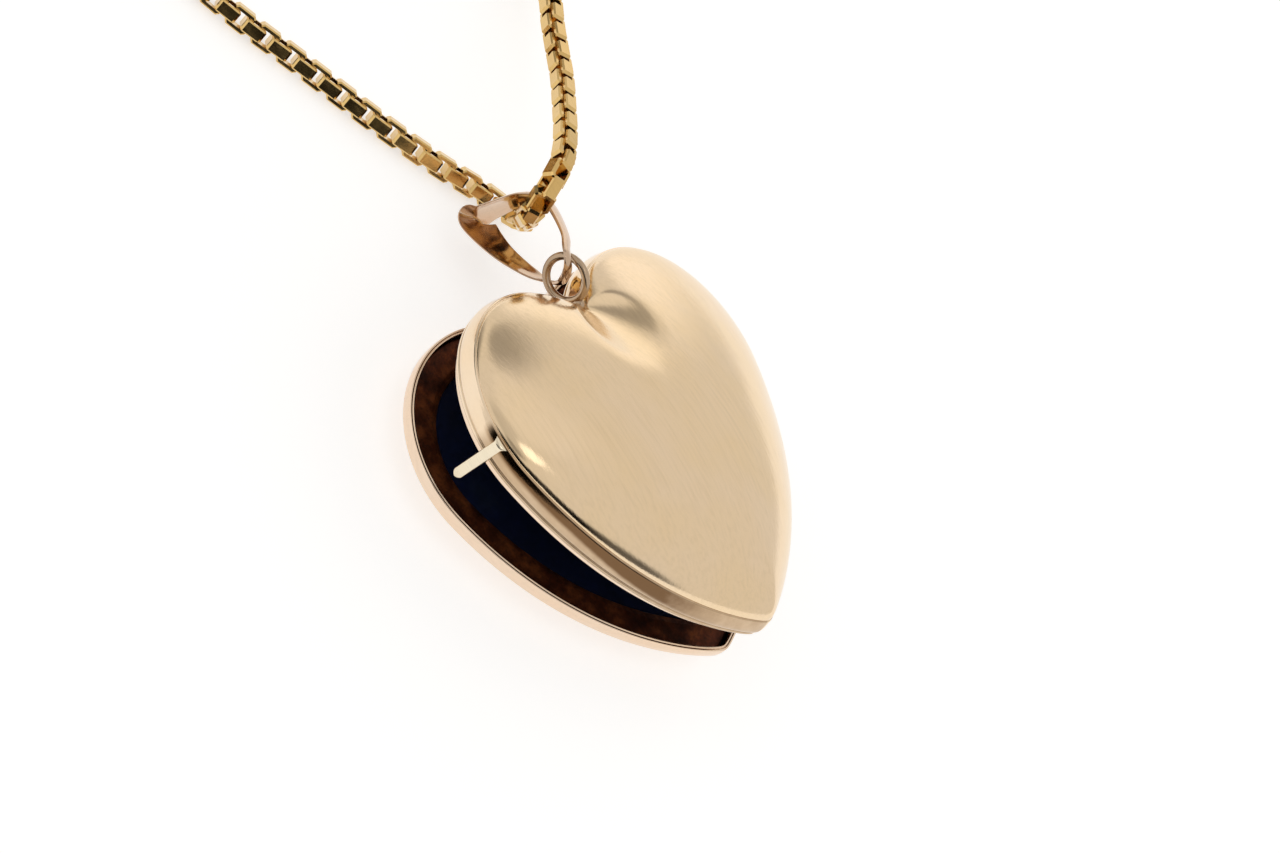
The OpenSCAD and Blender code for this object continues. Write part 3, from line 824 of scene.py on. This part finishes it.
def makeHinge():
    # Knuckles and pin are profiles turned about the hinge line, and each knuckle has a bar for its leaf.
    x, y, step = pose["hingeX"], pose["hingeY"], hingeMake["step"]
    r, b, half = hingeMake["knuckle"], hingeMake["bore"], hingeMake["length"] / 2
    barrel = roundedProfile([(b, -half), (r, -half), (r, half), (b, half)], [0.03, 0.07, 0.07, 0.03])
    pin = hingeMake["pin"]
    held = roundedProfile([(pin, -half), (r, -half), (r, half), (pin, half)], [0.0, 0.07, 0.07, 0.0])
    knuckles = (("backKnuckleUpper", "back_knuckle_upper", y + step, True),
                ("backKnuckleLower", "back_knuckle_lower", y - step, True),
                ("frontKnuckle", "front_knuckle", y, False))
    for name, node, along, tight in knuckles:
        turned = turnedAboutY(held if tight else barrel, 48, (x, along, 0.0))
        zs = (hingeMake["gap"], hingeMake["gap"] + hingeMake["leaf"])
        zs = zs if tight else (-zs[1], -zs[0])
        leaf = roundedBar((x - hingeMake["leafFar"], along - half, zs[0]),
                          (x - hingeMake["leafNear"], along + half, zs[1]), hingeMake["leafRound"])
        points, sizes, corners = joinShapes([gridShape(turned, True), gridShape(leaf)])
        lift = raiseBack if tight else lowerFront
        body = "back_cover" if tight else "front_cover"
        made = meshObject(name, toRow(lift(points)), sizes, corners, body, "rose_cover", finishes["front"])
        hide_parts(node)
    long = step + half
    rod = roundedProfile([(0.02, -long - 0.05), (pin - 0.005, -long - 0.02),
                          (pin - 0.005, long + 0.02), (0.02, long + 0.05)], 0.05)
    made = gridObject("hingePin", toRow(raiseBack(turnedAboutY(rod, 32, (x, y, 0.0)))), body="back_cover",
                      slot="gold_trim", material=finishes["trim"])
    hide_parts("hinge_pin")


tabMake = {
    "width": 0.74,
    "thick": 0.34,       # how far the tab stands out
    "tip": -2.5,         # height of the tab's tip, from the line where the covers meet
    "notch": 0.42,       # from the tip to the filed notch
    "back": -14.04,      # where the tab's flat back stands
    "y": 17.5,           # level with the hinge, on the other side of the heart
}


def makeTab():
    # Half-round section carried down the band. Its width follows a half circle at the tip
    # and flares at the arris.
    w, tip, top = tabMake["width"] / 2, tabMake["tip"], backMake["band"] - 0.01
    z = np.concatenate([tip + w * (1 - np.cos(np.linspace(0.12, math.pi / 2, 14))),
                        np.linspace(tip + w, top, 46)[1:]])
    rise = z - tip
    width = np.where(rise < w, np.sqrt(np.clip(w * w - (w - rise) ** 2, 1e-6, None)), w)
    flare = 0.16 * np.clip((z - top + 0.35) / 0.35, 0, 1) ** 2
    width = width * (1 + 0.03 * np.clip((z + 0.6) / 2.2, 0, 1)) + flare
    thick = tabMake["thick"] * np.clip(0.62 + 0.38 * np.sqrt(np.clip(rise / 0.3, 0, 1)), 0, 1)
    notch = 0.035 * np.exp(-((rise - tabMake["notch"]) / 0.045) ** 2)
    thick = thick - notch - 0.2 * np.clip((z - top + 0.2) / 0.2, 0, 1) ** 2
    turn = np.linspace(0, math.pi, 19)
    out = np.sin(turn) ** 0.7
    across = np.sign(np.cos(turn)) * np.abs(np.cos(turn)) ** 0.8
    section = np.stack([np.concatenate([out, [-0.0] * 5]),
                        np.concatenate([across, np.linspace(-0.8, 0.8, 5)])], -1)
    x = tabMake["back"] - thick[:, None] * section[:, 0]
    y = tabMake["y"] + width[:, None] * section[:, 1]
    grid = np.stack([x, y, np.broadcast_to(z[:, None], x.shape)], -1)
    made = gridObject("thumbTab", toRow(raiseBack(grid)), body="back_cover", slot="gold_trim",
                      material=finishes["tab"])
    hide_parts("thumb_tab")


ringMake = {
    "radius": 1.43,                  # to the middle of the wire
    "wire": 0.26,                    # radius of the wire
    "centre": (0.0, 24.8, 2.03),
    "footCentre": (0.0, 23.0, 1.68),
    "foot": (0.33, 0.42, 0.52),      # half sizes of the solder foot
}


def makeRing():
    # A circle of wire with one slight nick, and a solder foot: an ellipsoid with a wavy waist.
    a = np.linspace(0, 2 * math.pi, 97)[:-1][:, None]
    b = np.linspace(0, 2 * math.pi, 29)[:-1][None, :]
    wire = ringMake["wire"] * (1 - 0.05 * np.exp(-((a - 1.2) / 0.05) ** 2))
    r = ringMake["radius"] + wire * np.cos(b)
    cx, cy, cz = ringMake["centre"]
    grid = np.stack([cx + wire * np.sin(b) + 0 * r, cy + r * np.cos(a), cz + r * np.sin(a)], -1)
    made = gridObject("jumpRing", toRow(raiseBack(grid)), wrapRows=True, body="back_cover", slot="rose_wire",
                      material=finishes["wire"])
    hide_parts("jump_ring")
    f = np.linspace(0.06, math.pi - 0.06, 22)[:, None]
    sx, sy, sz = ringMake["foot"]
    fx, fy, fz = ringMake["footCentre"]
    wave = 1 + 0.05 * np.sin(3 * b + 1.0) * np.sin(f) ** 2
    grid = np.stack([fx + sx * np.sin(f) * np.cos(b) * wave, fy + sy * np.sin(f) * np.sin(b) * wave,
                     fz + sz * np.cos(f) + 0 * b], -1)
    foot = gridObject("ringFoot", toRow(raiseBack(grid)), body="back_cover", slot="rose_wire",
                      material=finishes["wire"])
    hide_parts("ring_foot")


bailMake = {
    "thick": 0.22,
    "sag": 0.10,         # how far the strap's edges bow back, as a share of its width
    "across": (-0.868, 0.335, 0.367),            # direction of the strap's width
    "acrossLeaf": (-0.953, 0.156, -0.043),       # the same on its wide front leaf
}
# Middle line of the strap in millimetres from the heart's tip, then its width.
bailRoute = [
    (1.15, 25.35, 5.45, 0.7), (1.05, 25.85, 5.0, 1.0), (0.8, 27.05, 4.35, 1.5), (0.7, 28.6, 3.6, 2.0),
    (1.1, 30.2, 2.75, 2.5), (1.6, 31.25, 2.3, 2.9), (2.3, 31.45, 2.8, 3.0), (3.2, 31.2, 4.0, 2.7),
    (3.9, 30.9, 5.0, 2.2), (4.1, 30.3, 5.9, 1.7), (3.5, 29.3, 6.8, 1.3), (2.6, 28.1, 7.6, 1.0),
    (1.5, 27.0, 8.4, 0.8), (0.45, 26.3, 8.95, 0.7), (-0.05, 25.8, 9.15, 0.7), (-0.1, 25.3, 8.8, 0.7),
    (0.1, 25.0, 8.2, 0.7), (0.4, 24.85, 7.5, 0.7), (0.75, 24.8, 6.8, 0.7), (1.05, 24.95, 6.1, 0.7),
]


def makeBail():
    # A strap section, thin and bowed outwards, is carried round the closed route with the route's own width.
    curve = splineThrough(bailRoute, 10, True)
    line, width = curve[:, :3], curve[:, 3:]
    tangent = unit(np.roll(line, -1, 0) - np.roll(line, 1, 0))
    at = np.arange(len(line)) / 10.0
    leaf = (smoothStep(at / 1.5) * smoothStep((6.5 - at) / 2.5))[:, None]
    across = np.array(bailMake["across"]) * (1 - leaf) + np.array(bailMake["acrossLeaf"]) * leaf
    across = unit(across - tangent * (tangent * across).sum(-1, keepdims=True))
    out = unit(np.cross(tangent, across))
    out = out * np.sign(((line - line.mean(0)) * out).sum())
    turn = np.arange(28) / 28 * 2 * math.pi
    q = np.sign(np.cos(turn)) * np.abs(np.cos(turn)) ** 0.7
    up = np.sign(np.sin(turn)) * np.abs(np.sin(turn)) ** 0.8
    side = width / 2 * q
    lift = bailMake["thick"] / 2 * up - bailMake["sag"] * width * q ** 2 + bailMake["sag"] * width * 0.35
    grid = line[:, None] + across[:, None] * side[..., None] + out[:, None] * lift[..., None]
    made = gridObject("bailStrap", toRow(grid), wrapRows=True, body="bail", slot="rose_wire",
                      material=finishes["bail"])
    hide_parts("bail")


makeHinge()
makeTab()
makeRing()
makeBail()
print("hinge, tab, ring and bail made")

# Carried-over parts get their finishes

cadFinish = {
    "front_window": "window",
    "back_window": "window",
    "front_insert": "insert",
    "back_insert": "insert",
    "catch_bead": "front",
    "clasp_body": "chain",
    "clasp_tongue": "chain",
    "clasp_eye": "chain",
    "clasp_spring": "steel",
    "chain_end_ring_left": "chain",
    "chain_end_ring_right": "chain",
}
for node, finish in cadFinish.items():
    made = bpy.data.objects[node]
    made.data.materials.clear()
    made.data.materials.append(finishes[finish])

# Setting

roomLight = {
    "base": 0.80,
    # each patch: azimuth, elevation, full angle and outer angle in degrees, brightness factor inside
    "patches": [(28, 6, 5, 20, 1.45), (46, 38, 3, 16, 0.50), (42, 70, 8, 24, 1.10), (82, 10, 6, 24, 0.45),
                (100, 0, 6, 24, 0.20), (186, 8, 20, 29, 0.02), (212, 8, 18, 27, 0.04), (240, 6, 14, 26, 0.15),
                (184, 47, 7, 13, 0.45), (150, 60, 8, 24, 0.80)],
    "tint": (1.0, 0.975, 0.94),
    "seen": (0.98, 0.98, 0.98),
    # name, place in metres, size in metres, power in watts
    "lamps": [("softTop", (-0.14, -0.06, 0.50), 0.16, 0.05)],
}


def makeSetting():
    floorMaterial = Recipe("paleFloor")
    floorMaterial.finish((0.6, 0.6, 0.6), 0.9, Specular_IOR_Level=0.1, Emission_Color=(1, 1, 1, 1),
                         Emission_Strength=0.6)
    mesh = bpy.data.meshes.new("floor")
    mesh.from_pydata([(-3, -3, 0), (3, -3, 0), (3, 3, 0), (-3, 3, 0)], [], [(0, 1, 2, 3)])
    mesh.materials.append(floorMaterial.material)
    floor = bpy.data.objects.new("floor", mesh)
    bpy.context.scene.collection.objects.link(floor)
    world = bpy.data.worlds.new("softRoom")
    bpy.context.scene.world = world
    world.use_nodes = True
    tree = world.node_tree
    back = tree.nodes["Background"]
    direction = tree.nodes.new("ShaderNodeTexCoord").outputs["Generated"]
    value = None
    for azimuth, elevation, full, outer, factor in roomLight["patches"]:
        a, e = math.radians(azimuth), math.radians(elevation)
        dot = tree.nodes.new("ShaderNodeVectorMath")
        dot.operation = "DOT_PRODUCT"
        tree.links.new(direction, dot.inputs[0])
        dot.inputs[1].default_value = (math.cos(a) * math.cos(e), math.sin(a) * math.cos(e), math.sin(e))
        span = tree.nodes.new("ShaderNodeMapRange")
        span.interpolation_type = "SMOOTHSTEP"
        tree.links.new(dot.outputs["Value"], span.inputs["Value"])
        span.inputs["From Min"].default_value = math.cos(math.radians(outer))
        span.inputs["From Max"].default_value = math.cos(math.radians(full))
        span.inputs["To Min"].default_value = 1.0
        span.inputs["To Max"].default_value = factor
        if value is None:
            value = span.outputs[0]
        else:
            times = tree.nodes.new("ShaderNodeMath")
            times.operation = "MULTIPLY"
            tree.links.new(value, times.inputs[0])
            tree.links.new(span.outputs[0], times.inputs[1])
            value = times.outputs[0]
    scale = tree.nodes.new("ShaderNodeMath")
    scale.operation = "MULTIPLY"
    scale.inputs[1].default_value = roomLight["base"]
    tree.links.new(value, scale.inputs[0])
    tree.links.new(scale.outputs[0], back.inputs["Strength"])
    back.inputs["Color"].default_value = (*roomLight["tint"], 1.0)
    # The camera itself sees a plain pale room; only the reflections see the darker patches.
    seen = tree.nodes.new("ShaderNodeBackground")
    seen.inputs["Color"].default_value = (*roomLight["seen"], 1.0)
    path = tree.nodes.new("ShaderNodeLightPath")
    mix = tree.nodes.new("ShaderNodeMixShader")
    tree.links.new(path.outputs["Is Camera Ray"], mix.inputs[0])
    tree.links.new(back.outputs[0], mix.inputs[1])
    tree.links.new(seen.outputs[0], mix.inputs[2])
    tree.links.new(mix.outputs[0], tree.nodes["World Output"].inputs["Surface"])
    for name, place, size, power in roomLight["lamps"]:
        data = bpy.data.lights.new(name, "AREA")
        data.shape = "DISK"
        data.size = size
        data.energy = power
        lamp = bpy.data.objects.new(name, data)
        lamp.location = place
        lamp.rotation_euler = (-Vector(place)).to_track_quat("-Z", "Y").to_euler()
        bpy.context.scene.collection.objects.link(lamp)


makeSetting()
bpy.context.scene.view_settings.view_transform = "Standard"
